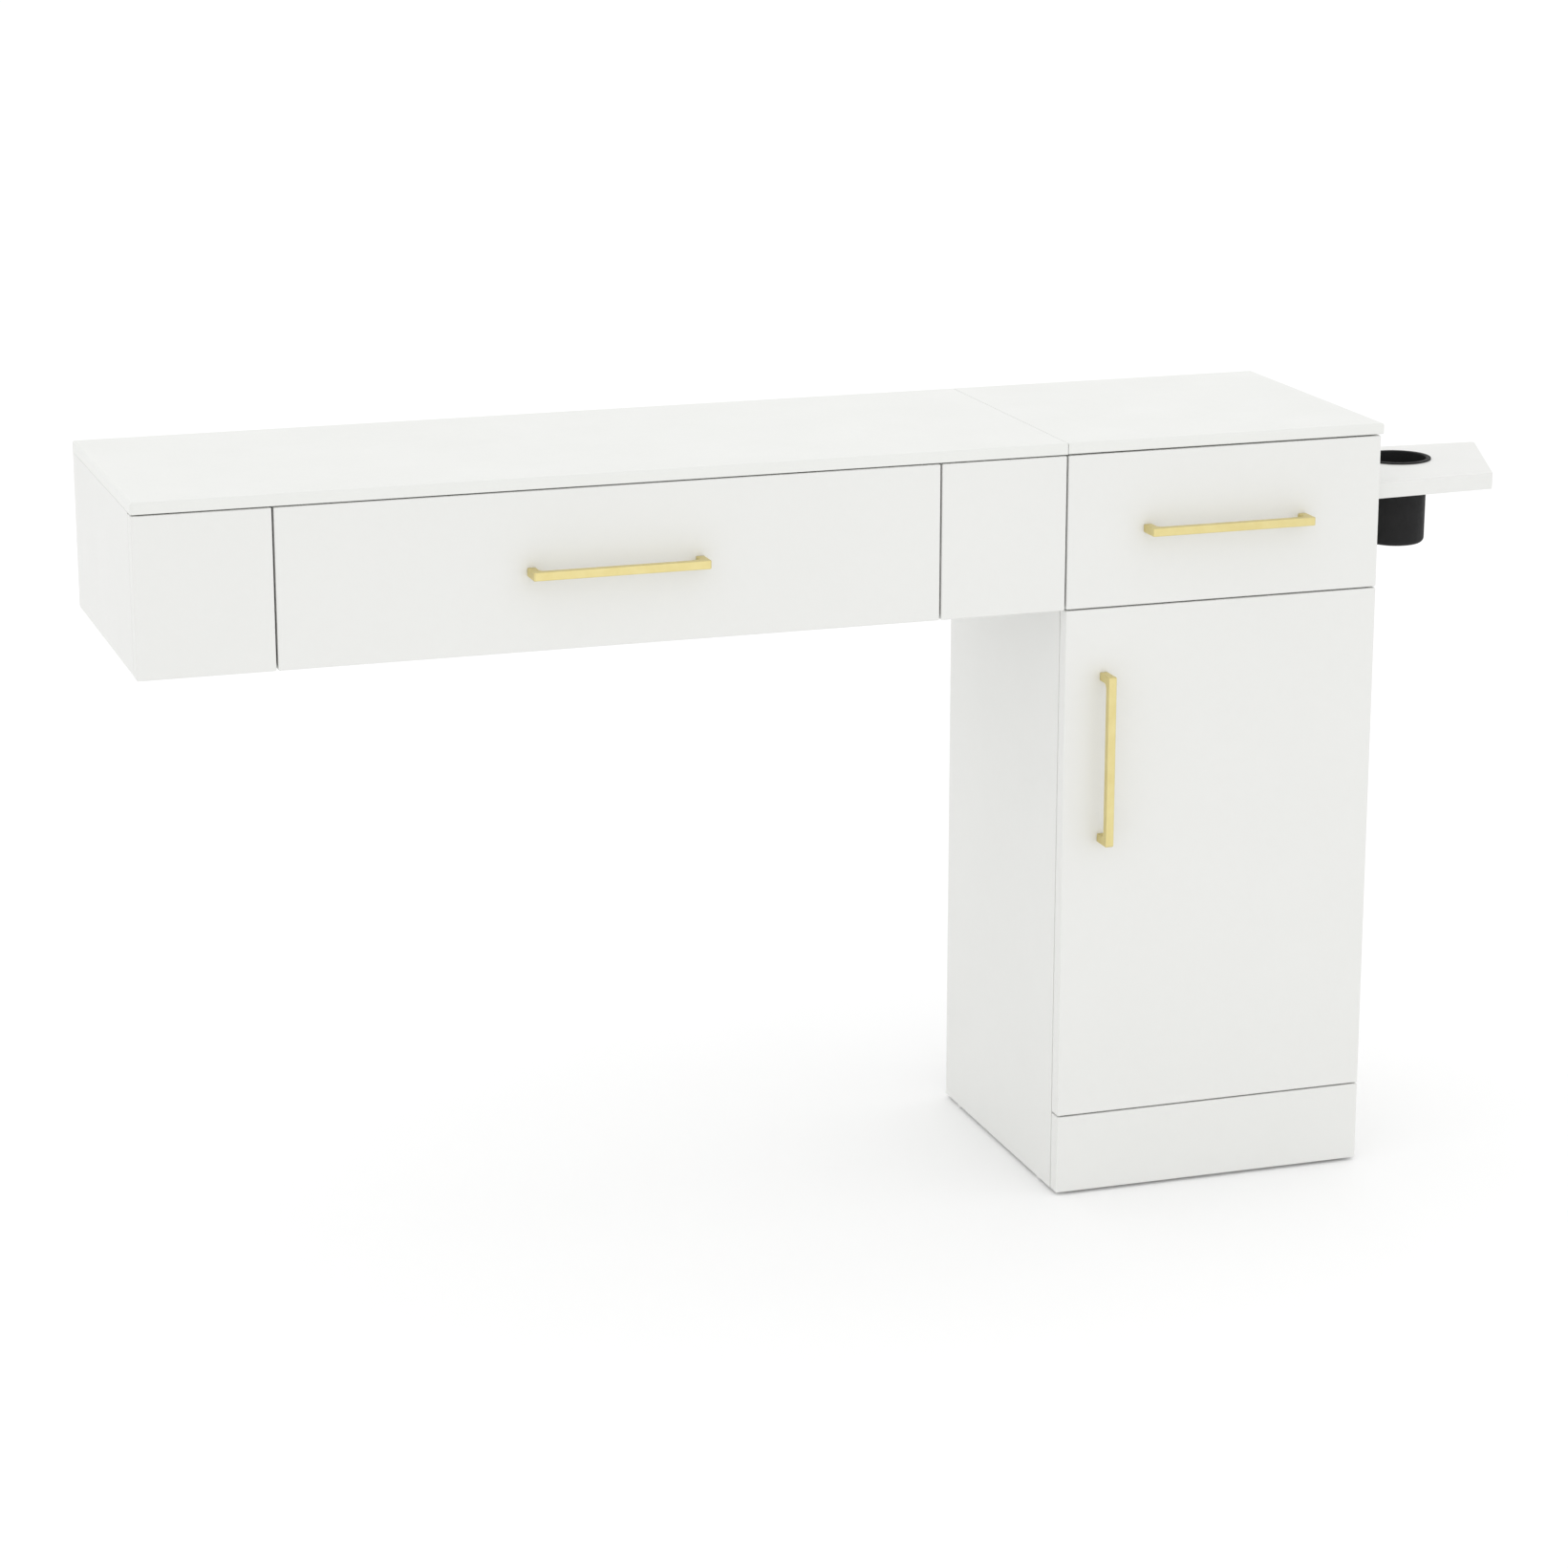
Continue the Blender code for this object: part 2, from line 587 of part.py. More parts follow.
def make_connector(place, y, beam_side, tower_side):
    """A bolt and its sleeve nut, drawn up through the two sides that meet."""
    shank, head, thick = 0.0030, 0.0070, 0.0030
    half = (2 * BOARD + SEAM) / 2 + TOUCH
    profile = [(0, half + thick), (head - 0.001, half + thick), (head, half + thick - 0.001)]
    profile += [(head, half), (shank, half)]
    profile += [(radius, -level) for radius, level in reversed(profile)]
    centre = point((BEAM_RIGHT + TOWER_LEFT) / 2, y, BOLT_HEIGHT)
    turn = (0, math.pi / 2, 0)
    turned(f"connector_bolt_{place}", profile, 20, ZINC_STEEL, centre, rotation=turn)
    bore = rod_cutter(f"connector_{place}_hole", centre, shank + SEAM, 2 * half + BOARD)
    cut(beam_side, bore)
    cut(tower_side, bore)


def main():
    beam_right_side = make_beam()
    tower_left_side, tower_right_side = make_tower()
    divider_face = DIVIDER_MIDDLE - BOARD / 2
    make_drawer(
        "beam_drawer",
        (-WIDE_DRAWER_WIDTH / 2, WIDE_DRAWER_WIDTH / 2),
        (BEAM_LOW, FRONT_HIGH),
        (-divider_face, divider_face),
        (WIDE_BOX_LOW, WIDE_BOX_HIGH),
        WIDE_SLIDE_HEIGHT,
    )
    make_drawer(
        "tower_drawer",
        (TOWER_FRONT_LEFT, TOWER_RIGHT),
        (TOWER_DRAWER_LOW, FRONT_HIGH),
        (TOWER_IN_LEFT, TOWER_IN_RIGHT),
        (TOWER_BOX_LOW, TOWER_BOX_HIGH),
        TOWER_SLIDE_HEIGHT,
    )
    make_door(tower_right_side)
    make_tool_holder(tower_right_side)
    for place, y in BOLTS.items():
        make_connector(place, y, beam_right_side, tower_left_side)


main()
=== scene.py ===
"""The looks of a white salon workstation: a shallow wall-fixed beam with one wide drawer beside a
floor-standing tower with a drawer, a door, a side board and a lift-out cup.

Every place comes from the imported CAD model. Lengths are metres, the fronts face -Y and +Z is up.
"""

import json
import math

import bmesh
import bpy
from mathutils import Matrix, Vector


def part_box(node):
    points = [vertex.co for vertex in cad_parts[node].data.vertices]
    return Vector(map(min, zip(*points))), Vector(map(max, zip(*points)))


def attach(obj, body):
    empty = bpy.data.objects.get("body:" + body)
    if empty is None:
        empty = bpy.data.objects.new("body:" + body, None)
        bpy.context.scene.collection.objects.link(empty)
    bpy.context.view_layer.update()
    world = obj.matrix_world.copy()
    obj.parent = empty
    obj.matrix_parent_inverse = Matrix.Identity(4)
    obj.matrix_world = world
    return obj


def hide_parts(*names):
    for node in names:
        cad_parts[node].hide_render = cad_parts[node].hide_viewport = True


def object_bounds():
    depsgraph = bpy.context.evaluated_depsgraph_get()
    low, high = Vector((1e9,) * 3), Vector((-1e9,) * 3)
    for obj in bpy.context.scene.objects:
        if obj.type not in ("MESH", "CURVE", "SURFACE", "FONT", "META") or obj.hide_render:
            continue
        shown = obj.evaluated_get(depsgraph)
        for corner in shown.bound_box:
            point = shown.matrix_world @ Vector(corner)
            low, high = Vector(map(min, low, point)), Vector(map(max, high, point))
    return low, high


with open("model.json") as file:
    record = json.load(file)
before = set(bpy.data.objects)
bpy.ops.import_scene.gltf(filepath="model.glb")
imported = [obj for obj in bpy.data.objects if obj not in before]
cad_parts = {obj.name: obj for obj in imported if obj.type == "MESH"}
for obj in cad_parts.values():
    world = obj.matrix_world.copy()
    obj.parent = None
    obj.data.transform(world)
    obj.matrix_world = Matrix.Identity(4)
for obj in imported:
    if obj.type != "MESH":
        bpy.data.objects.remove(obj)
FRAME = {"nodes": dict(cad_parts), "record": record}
CAD_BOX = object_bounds()
BODIES = FRAME["record"]["behaviour"]["bodies"]
BODY_OF = {node: body for body, nodes in BODIES.items() for node in nodes}
FLOOR = CAD_BOX[0].z

LARGEST_RADIUS = 0.004
SMOOTH_BELOW = math.radians(36)


# Materials. Every pattern is measured in metres on the piece itself.


class Surface:
    """One shader with its colour, roughness and bump driven by noise on the piece."""

    def __init__(self, name):
        self.material = bpy.data.materials.new(name)
        self.material.use_nodes = True
        self.nodes = self.material.node_tree.nodes
        self.links = self.material.node_tree.links
        self.shader = self.nodes["Principled BSDF"]
        self.place = self.nodes.new("ShaderNodeTexCoord").outputs["Object"]
        self.normal = None

    def set(self, **sockets):
        """Sets sockets that are the same all over, by name in lower case."""
        by_name = {socket.name.lower().replace(" ", "_"): socket for socket in self.shader.inputs}
        for name, value in sockets.items():
            by_name[name].default_value = value
        return self

    def noise(self, size, detail=2.0, stretch=(1, 1, 1), roughness=0.5):
        """Soft noise whose features are about size metres across, longer along stretched axes."""
        mapping = self.nodes.new("ShaderNodeMapping")
        mapping.inputs["Scale"].default_value = [1 / (size * s) for s in stretch]
        self.links.new(self.place, mapping.inputs["Vector"])
        texture = self.nodes.new("ShaderNodeTexNoise")
        texture.inputs["Scale"].default_value = 1.0
        texture.inputs["Detail"].default_value = detail
        texture.inputs["Roughness"].default_value = roughness
        self.links.new(mapping.outputs["Vector"], texture.inputs["Vector"])
        return texture.outputs["Fac"]

    def blend(self, first, second, share):
        """Two patterns added together, with share of the second."""
        mix = self.nodes.new("ShaderNodeMix")
        mix.data_type = "FLOAT"
        mix.inputs["Factor"].default_value = share
        self.links.new(first, mix.inputs["A"])
        self.links.new(second, mix.inputs["B"])
        return mix.outputs["Result"]

    def colour(self, pattern, *stops):
        """Base colour from a pattern, as (position, (red, green, blue)) stops in linear light."""
        ramp = self.nodes.new("ShaderNodeValToRGB")
        elements = ramp.color_ramp.elements
        while len(elements) < len(stops):
            elements.new(0.5)
        for element, (position, rgb) in zip(elements, stops):
            element.position = position
            element.color = (*rgb, 1)
        self.links.new(pattern, ramp.inputs["Fac"])
        self.links.new(ramp.outputs["Color"], self.shader.inputs["Base Color"])
        return self

    def roughness(self, pattern, low, high, from_low=0.3, from_high=0.7):
        spread = self.nodes.new("ShaderNodeMapRange")
        spread.inputs["From Min"].default_value = from_low
        spread.inputs["From Max"].default_value = from_high
        spread.inputs["To Min"].default_value = low
        spread.inputs["To Max"].default_value = high
        self.links.new(pattern, spread.inputs["Value"])
        self.links.new(spread.outputs["Result"], self.shader.inputs["Roughness"])
        return self

    def bump(self, pattern, height, strength=1.0):
        """A relief of that height in metres. Later calls add finer relief on top."""
        bump = self.nodes.new("ShaderNodeBump")
        bump.inputs["Distance"].default_value = height
        bump.inputs["Strength"].default_value = strength
        self.links.new(pattern, bump.inputs["Height"])
        if self.normal is not None:
            self.links.new(self.normal, bump.inputs["Normal"])
        self.normal = bump.outputs["Normal"]
        self.links.new(self.normal, self.shader.inputs["Normal"])
        return self


def white_finish(name, dark, light, rough, peel):
    """Sprayed satin lacquer: faint tone drift, soft patches of gloss and orange peel."""
    s = Surface(name)
    drift = s.blend(s.noise(0.24, 3), s.noise(0.012, 2), 0.3)
    s.colour(drift, (0.3, dark), (0.7, light))
    s.roughness(s.blend(s.noise(0.09, 4), s.noise(0.004, 2), 0.35), *rough)
    s.bump(s.noise(0.0030, 1.5), peel)
    s.bump(s.noise(0.0005, 1), 0.000006)
    return s.material


def board_face(name, dark, light, rough):
    """Melamine with a fine pearl grain."""
    s = Surface(name)
    drift = s.blend(s.noise(0.15, 3), s.noise(0.0022, 3), 0.4)
    s.colour(drift, (0.3, dark), (0.7, light))
    s.roughness(s.noise(0.03, 4), *rough)
    s.bump(s.noise(0.0011, 2.5, roughness=0.6), 0.000035)
    return s.material


def make_edge_band():
    """Plastic edging with the faint drag lines of its trimming."""
    s = Surface("edge_band")
    drift = s.blend(s.noise(0.05, 2), s.noise(0.0012, 2), 0.3)
    s.colour(drift, (0.3, (0.80, 0.805, 0.79)), (0.7, (0.835, 0.84, 0.825)))
    s.roughness(s.noise(0.01, 3), 0.32, 0.46)
    s.bump(s.noise(0.0009, 2), 0.00002)
    return s.material


def make_gold(name, stretch):
    """Satin gold plate, brushed along the bar."""
    s = Surface(name).set(metallic=1.0)
    brushed = s.noise(0.00035, 4, stretch, roughness=0.65)
    tone = s.blend(s.noise(0.018, 3), brushed, 0.35)
    s.colour(tone, (0.32, (0.700, 0.597, 0.272)), (0.68, (0.760, 0.668, 0.336)))
    s.roughness(s.blend(s.noise(0.012, 3), brushed, 0.6), 0.36, 0.52)
    s.bump(brushed, 0.000010)
    return s.material


def make_black_cup():
    """Satin black with a very fine powder-coat texture."""
    s = Surface("satin_black").set(ior=1.20)
    tone = s.blend(s.noise(0.03, 3), s.noise(0.0007, 2), 0.5)
    s.colour(tone, (0.3, (0.016, 0.016, 0.0165)), (0.7, (0.022, 0.022, 0.0225)))
    s.roughness(s.noise(0.006, 4), 0.52, 0.66)
    s.bump(s.noise(0.0007, 2, roughness=0.6), 0.000025)
    return s.material


def make_zinc():
    """Bright zinc plate on rolled steel, with faint rolling lines along Y."""
    s = Surface("zinc_plate").set(metallic=1.0)
    rolled = s.noise(0.0004, 3, (1, 60, 1))
    tone = s.blend(s.noise(0.02, 3), rolled, 0.35)
    s.colour(tone, (0.3, (0.58, 0.59, 0.60)), (0.7, (0.66, 0.67, 0.68)))
    s.roughness(s.blend(s.noise(0.008, 3), rolled, 0.5), 0.27, 0.38)
    s.bump(rolled, 0.000003)
    return s.material


def make_nickel():
    """Nickel-plated screw heads with light handling marks."""
    s = Surface("nickel_plate").set(metallic=1.0)
    tone = s.blend(s.noise(0.003, 3), s.noise(0.0003, 2), 0.4)
    s.colour(tone, (0.3, (0.58, 0.565, 0.54)), (0.7, (0.72, 0.705, 0.68)))
    s.roughness(tone, 0.20, 0.38)
    s.bump(s.noise(0.0004, 2), 0.000005)
    return s.material


def make_plastic(name, dark, light, rough):
    """Moulded plastic with a fine spark-eroded grain."""
    s = Surface(name)
    s.colour(s.blend(s.noise(0.02, 3), s.noise(0.0008, 2), 0.4), (0.3, dark), (0.7, light))
    s.roughness(s.noise(0.004, 3), *rough)
    s.bump(s.noise(0.0006, 2), 0.000020)
    return s.material


LACQUER = white_finish(
    "white_lacquer", (0.748, 0.751, 0.730), (0.762, 0.765, 0.745), (0.34, 0.46), 0.000030
)
# The top boards get a copy of the same lacquer tinted a shade lighter: painted light for the top,
# which the lamps light more brightly than the fronts. Its roughness also differs.
TOP_LACQUER_PAINTED_LIGHTER = white_finish(
    "white_worktop", (0.750, 0.757, 0.732), (0.766, 0.773, 0.748), (0.30, 0.42), 0.000026
)
MELAMINE = board_face("white_melamine", (0.785, 0.790, 0.775), (0.810, 0.815, 0.80), (0.40, 0.52))
DRAWER_FOIL = board_face("drawer_foil", (0.755, 0.757, 0.745), (0.785, 0.787, 0.775), (0.44, 0.58))
BACK_FACE = board_face("thin_board", (0.74, 0.742, 0.73), (0.78, 0.782, 0.77), (0.50, 0.66))
EDGE_BAND = make_edge_band()
GOLD_ALONG_X = make_gold("satin_gold_bar", (60, 1, 1))
GOLD_ALONG_Z = make_gold("satin_gold_upright", (1, 1, 60))
BLACK = make_black_cup()
ZINC = make_zinc()
NICKEL = make_nickel()
WHITE_PLASTIC = make_plastic("white_plastic", (0.70, 0.70, 0.685), (0.76, 0.76, 0.745), (0.4, 0.55))
BLACK_PLASTIC = make_plastic("black_plastic", (0.014, 0.014, 0.015), (0.024, 0.024, 0.026), (0.4, 0.6))


# Mesh helpers.


def mesh_from(work, name):
    bmesh.ops.recalc_face_normals(work, faces=work.faces)
    mesh = bpy.data.meshes.new(name)
    work.to_mesh(mesh)
    work.free()
    return mesh


def loose_object(mesh):
    made = bpy.data.objects.new(mesh.name, mesh)
    bpy.context.scene.collection.objects.link(made)
    return made


def applied(made):
    """The object's mesh with its modifiers in it. The object goes."""
    graph = bpy.context.evaluated_depsgraph_get()
    mesh = bpy.data.meshes.new_from_object(made.evaluated_get(graph))
    bpy.data.objects.remove(made, do_unlink=True)
    return mesh


def rounded_by_weight(mesh, segments=4):
    made = loose_object(mesh)
    bevel = made.modifiers.new("radii", "BEVEL")
    bevel.limit_method = "WEIGHT"
    bevel.width = LARGEST_RADIUS
    bevel.segments = segments
    return applied(made)


def cut_from(mesh, cutters):
    """The mesh without the space of the cutters, which are meshes that don't touch each other."""
    work = bmesh.new()
    for cutter in cutters:
        work.from_mesh(cutter)
    tool = loose_object(mesh_from(work, "tool"))
    made = loose_object(mesh)
    boolean = made.modifiers.new("cut", "BOOLEAN")
    boolean.operation = "DIFFERENCE"
    boolean.solver = "EXACT"
    boolean.object = tool
    result = applied(made)
    bpy.data.objects.remove(tool, do_unlink=True)
    return result


def joined(meshes, name):
    work = bmesh.new()
    for mesh in meshes:
        work.from_mesh(mesh)
    mesh = bpy.data.meshes.new(name)
    work.to_mesh(mesh)
    work.free()
    return mesh


def placed(mesh, matrix):
    moved = mesh.copy()
    moved.transform(matrix)
    return moved


def piece(name, mesh, materials, body, stands_for=(), choose=None):
    """Shows a mesh as a finished piece that rides on a body and stands for CAD nodes."""
    mesh.materials.clear()
    for material in materials:
        mesh.materials.append(material)
    for polygon in mesh.polygons:
        polygon.use_smooth = True
        polygon.material_index = choose(polygon) if choose else 0
    mesh.set_sharp_from_angle(angle=SMOOTH_BELOW)
    made = bpy.data.objects.new(name, mesh)
    bpy.context.scene.collection.objects.link(made)
    normals = made.modifiers.new("flat_faces", "WEIGHTED_NORMAL")
    normals.keep_sharp = True
    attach(made, body)
    if stands_for:
        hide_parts(*stands_for)
    return made


def side_of(normal):
    axis = max(range(3), key=lambda i: abs(normal[i]))
    return ("-" if normal[axis] < 0 else "+") + "xyz"[axis]


def box_mesh(low, high, radius=0.0, sides=None):
    """A box whose edges have one radius, or a smaller one where they touch a side in sides."""
    work = bmesh.new()
    bmesh.ops.create_cube(work, size=1.0)
    for vert in work.verts:
        vert.co = [low[i] if vert.co[i] < 0 else high[i] for i in range(3)]
    bmesh.ops.recalc_face_normals(work, faces=work.faces)
    weight = work.edges.layers.float.new("bevel_weight_edge")
    for edge in work.edges:
        own = [(sides or {}).get(side_of(f.normal), radius) for f in edge.link_faces]
        edge[weight] = min(own) / LARGEST_RADIUS
    mesh = mesh_from(work, "box")
    return rounded_by_weight(mesh) if radius else mesh


def lathe(profile, steps=64, matrix=None, closed=False):
    """A turned mesh from (radius, height) points. Closed joins the last point to the first."""
    work = bmesh.new()
    rings = []
    for radius, height in profile:
        count = 1 if radius < 1e-7 else steps
        turn = [2 * math.pi * i / steps for i in range(count)]
        rings.append(
            [work.verts.new((radius * math.cos(a), radius * math.sin(a), height)) for a in turn]
        )
    for lower, upper in zip(rings, rings[1:] + (rings[:1] if closed else [])):
        for i in range(steps):
            j = (i + 1) % steps
            around = [lower[i % len(lower)], lower[j % len(lower)]]
            around += [upper[j % len(upper)], upper[i % len(upper)]]
            corners = list(dict.fromkeys(around))
            if len(corners) > 2:
                work.faces.new(corners)
    mesh = mesh_from(work, "turned")
    if matrix:
        mesh.transform(matrix)
    return mesh


def along(axis, centre):
    """A matrix that takes +Z to an axis direction and the origin to a centre."""
    turn = Vector(axis).to_track_quat("Z", "Y").to_matrix().to_4x4()
    return Matrix.Translation(centre) @ turn


def arc(centre, radius, start, stop, steps):
    turn = [math.radians(start + (stop - start) * i / steps) for i in range(steps + 1)]
    return [(centre[0] + radius * math.cos(a), centre[1] + radius * math.sin(a)) for a in turn]


def round_corners(points, radii, steps=6):
    """A closed outline with each corner replaced by an arc of its own radius."""
    outline = []
    for i, corner in enumerate(points):
        here = Vector(corner)
        before = (Vector(points[i - 1]) - here).normalized()
        after = (Vector(points[(i + 1) % len(points)]) - here).normalized()
        radius = radii[i] if isinstance(radii, (list, tuple)) else radii
        half = before.angle(after) / 2
        if radius <= 0 or abs(half - math.pi / 2) < 1e-4:
            outline.append(here)
            continue
        reach = radius / math.tan(half)
        centre = here + (before + after).normalized() * (radius / math.sin(half))
        first, last = here + before * reach - centre, here + after * reach - centre
        sweep = first.angle_signed(last)
        for k in range(steps + 1):
            turn = Matrix.Rotation(-sweep * k / steps, 2)
            outline.append(centre + turn @ first)
    return [tuple(p) for p in outline]


def prism(outline, low, high, matrix=None, radius=0.0):
    """An outline in the XY plane drawn up from low to high, with a radius round both its ends."""
    work = bmesh.new()
    bottom = [work.verts.new((x, y, low)) for x, y in outline]
    top = [work.verts.new((x, y, high)) for x, y in outline]
    weight = work.edges.layers.float.new("bevel_weight_edge")
    for ring in (bottom, top):
        cap = work.faces.new(ring)
        for edge in cap.edges:
            edge[weight] = radius / LARGEST_RADIUS
    for i in range(len(outline)):
        j = (i + 1) % len(outline)
        work.faces.new((bottom[i], bottom[j], top[j], top[i]))
    mesh = mesh_from(work, "prism")
    if radius:
        mesh = rounded_by_weight(mesh, 3)
    if matrix:
        mesh.transform(matrix)
    return mesh


# Fasteners.


def screw_head(radius, height, recess):
    """A domed head that stands on the plane Z = 0, with a cross recess of that depth."""
    rim = height * 0.45
    crown = [(x * radius, rim + y * (height - rim)) for x, y in arc((0, 0), 1, 0, 80, 5)]
    profile = [(0, 0), (radius * 0.97, 0), (radius, rim * 0.25)] + crown + [(0, height)]
    head = lathe(profile, 28)
    for turn in (0, math.pi / 2):
        work = bmesh.new()
        bmesh.ops.create_cube(work, size=1.0)
        for vert in work.verts:
            deep = vert.co.z < 0
            vert.co.x *= radius * (0.6 if deep else 1.05)
            vert.co.y *= radius * (0.16 if deep else 0.22)
            vert.co.z = height - recess if deep else height + 0.001
        blade = mesh_from(work, "blade")
        blade.transform(Matrix.Rotation(turn, 4, "Z"))
        head = cut_from(head, [blade])
    return head


PAN_HEAD = screw_head(0.0040, 0.0024, 0.0017)
LOW_HEAD = screw_head(0.0034, 0.0008, 0.0006)
FLUSH_HEAD = screw_head(0.0025, 0.0009, 0.0006)


def screws(name, head, places, body, material=NICKEL):
    """One piece of several screw heads, from (centre, direction) pairs."""
    heads = [placed(head, along(direction, centre)) for centre, direction in places]
    return piece(name, joined(heads, name), [material], body)


# Boards.


def board(node, faces, edges=None, radius=0.0010, sides=None, cutters=(), outer=None):
    """A board in place of its CAD node: broad faces in one finish, narrow ones in another.
    outer = (side, material) gives one broad face a finish of its own."""
    low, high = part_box(node)
    size = high - low
    thin = min(range(3), key=lambda i: size[i])
    mesh = box_mesh(low, high, radius, sides)
    if cutters:
        mesh = cut_from(mesh, cutters)
    materials = [faces, edges or faces, outer[1] if outer else faces]

    def choose(polygon):
        if outer and side_of(polygon.normal) == outer[0]:
            return 2
        return 0 if abs(polygon.normal[thin]) > 0.75 else 1

    return piece(
        node + "_panel",
        mesh,
        materials,
        BODY_OF[node],
        [node],
        choose if len({m.name for m in materials}) > 1 else None,
    )


def drilled(x, y, z, axis, radius, length, flare=0.0003):
    """A drill cutter with a small flare at each end, centred on a point."""
    half = length / 2
    profile = [(0, -half), (radius + flare, -half), (radius, flare - half)]
    profile += [(radius, half - flare), (radius + flare, half), (0, half)]
    return lathe(profile, 32, along(axis, (x, y, z)))


def middle_of(node, axis):
    low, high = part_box(node)
    return (low[axis] + high[axis]) / 2


def side_hole(side_node, at_node, radius):
    """A drill cutter through an upright side, in line with a bolt or screw."""
    x, y, z = middle_of(side_node, 0), middle_of(at_node, 1), middle_of(at_node, 2)
    return drilled(x, y, z, (1, 0, 0), radius, THROUGH_SIDE)


# Edge radii: on the fronts, on top boards where they are seen, and where two boards meet.
FRONT_EDGE = 0.0014
TOP_EDGE = 0.0030
JOINT = 0.0002

# Drillings, as radii, and the length of a cutter that goes through one side.
BOLT_HOLE = 0.0035
HOLDER_SCREW_HOLE = 0.0023
PIN_HOLE = 0.0025
WALL_SCREW_HOLE = 0.0025
THROUGH_SIDE = 0.022
THROUGH_BACK = 0.020

BOLTS = ("connector_bolt_front", "connector_bolt_back")
WALL_SCREWS = (-0.42, -0.14, 0.14, 0.42)
WALL_SCREW_RISE = 0.045
WALL_SCREW_FLARE = 0.0012


def build_beam():
    top_sides = {"-z": JOINT, "+x": 0.0006, "+y": 0.0012}
    board("beam_top", TOP_LACQUER_PAINTED_LIGHTER, radius=TOP_EDGE, sides=top_sides)
    board("beam_left_side", LACQUER, radius=0.0022, sides={"+z": JOINT, "-y": 0.0007, "+x": 0.0007})
    board("beam_bottom", LACQUER, radius=0.0007)
    middle, y, height = [middle_of("beam_back_panel", axis) for axis in range(3)]
    height += WALL_SCREW_RISE
    size = (WALL_SCREW_HOLE, THROUGH_BACK, WALL_SCREW_FLARE)
    wall_screws = [drilled(middle + x, y, height, (0, 1, 0), *size) for x in WALL_SCREWS]
    board("beam_back_panel", MELAMINE, EDGE_BAND, radius=0.0005, cutters=wall_screws)
    for side in ("left", "right"):
        board(f"beam_{side}_divider", MELAMINE, EDGE_BAND, radius=0.0006)
        board(f"beam_{side}_front", LACQUER, radius=FRONT_EDGE)
    holes = [side_hole("beam_right_side", bolt, BOLT_HOLE) for bolt in BOLTS]
    board("beam_right_side", MELAMINE, EDGE_BAND, radius=0.0007, cutters=holes)
    for bolt in BOLTS:
        build_bolt(bolt)


def build_bolt(node):
    """A connector bolt and sleeve nut with a hexagonal recess in each flat head."""
    low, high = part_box(node)
    half, head = (high.x - low.x) / 2, (high.z - low.z) / 2
    inner = half - 0.0030
    face = arc((head - 0.0012, half - 0.0012), 0.0012, 90, 0, 4)
    profile = [(0, half)] + face + [(head, inner + 0.0002), (0.0030, inner)]
    profile += [(radius, -level) for radius, level in reversed(profile)]
    mesh = lathe(profile, 48)
    hexagon = [(0.0023 * x, 0.0023 * y) for x, y in arc((0, 0), 1, 0, 360, 6)[:-1]]
    deep, clear = half - 0.0022, half + 0.001
    mesh = cut_from(mesh, [prism(hexagon, deep, clear), prism(hexagon, -clear, -deep)])
    mesh.transform(along((1, 0, 0), (low + high) / 2))
    piece(node + "_steel", mesh, [NICKEL], BODY_OF[node], [node])


# The tower.

PIN_ROWS = (-0.280, -0.060)
PIN_STEP = 0.032
PIN_DROP = 0.0055
PIN_HOLE_DEPTH = 0.010
HOLDER_SCREWS = ("holder_screw_front", "holder_screw_back")


def build_tower():
    top_sides = {"-z": 0.0016, "-x": 0.0006, "+y": 0.0012}
    board("tower_top", TOP_LACQUER_PAINTED_LIGHTER, radius=TOP_EDGE, sides=top_sides)
    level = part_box("tower_shelf")[0].z - PIN_DROP
    pins = [(y, level + PIN_STEP * k) for y in PIN_ROWS for k in range(-2, 4)]
    for side, outside in (("left", "-x"), ("right", "+x")):
        node = f"tower_{side}_side"
        low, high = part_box(node)
        inner = high.x if side == "left" else low.x
        cutters = [drilled(inner, y, z, (1, 0, 0), PIN_HOLE, 2 * PIN_HOLE_DEPTH) for y, z in pins]
        if side == "left":
            cutters += [side_hole(node, bolt, BOLT_HOLE) for bolt in BOLTS]
        else:
            cutters += [side_hole(node, screw, HOLDER_SCREW_HOLE) for screw in HOLDER_SCREWS]
            cutters += [hinge_recess(place, low, high) for place in ("lower", "upper")]
        board(
            node,
            MELAMINE,
            LACQUER,
            radius=0.0010,
            sides={"+z": JOINT, "-y": 0.0007},
            cutters=cutters,
            outer=(outside, LACQUER),
        )
        for i, y in enumerate(PIN_ROWS):
            inward = 1 if side == "left" else -1
            build_shelf_pin(f"shelf_pin_{side}_{i + 1}", inner, y, level, inward)
    for node in ("tower_floor_panel", "tower_mid_panel", "tower_wall_rail"):
        board(node, MELAMINE, EDGE_BAND, radius=0.0006)
    board("tower_shelf", MELAMINE, EDGE_BAND, radius=0.0010)
    board("tower_back_panel", BACK_FACE, radius=0.0003)
    board("toe_panel", LACQUER, radius=FRONT_EDGE)
    for side in ("left", "right"):
        for end in ("front", "back"):
            build_glide(f"glide_{end}_{side}")


def hinge_recess(place, low, high):
    """The pocket in the side's front edge that the frame leaf lies in."""
    leaf_low, leaf_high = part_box(f"hinge_{place}_frame_leaf")
    clear, play = 0.001, 0.0005
    behind = middle_of(f"hinge_{place}_pin", 1) + 0.0009
    return box_mesh(
        (low.x - clear, low.y - clear, leaf_low.z - play),
        (high.x + clear, behind, leaf_high.z + play),
    )


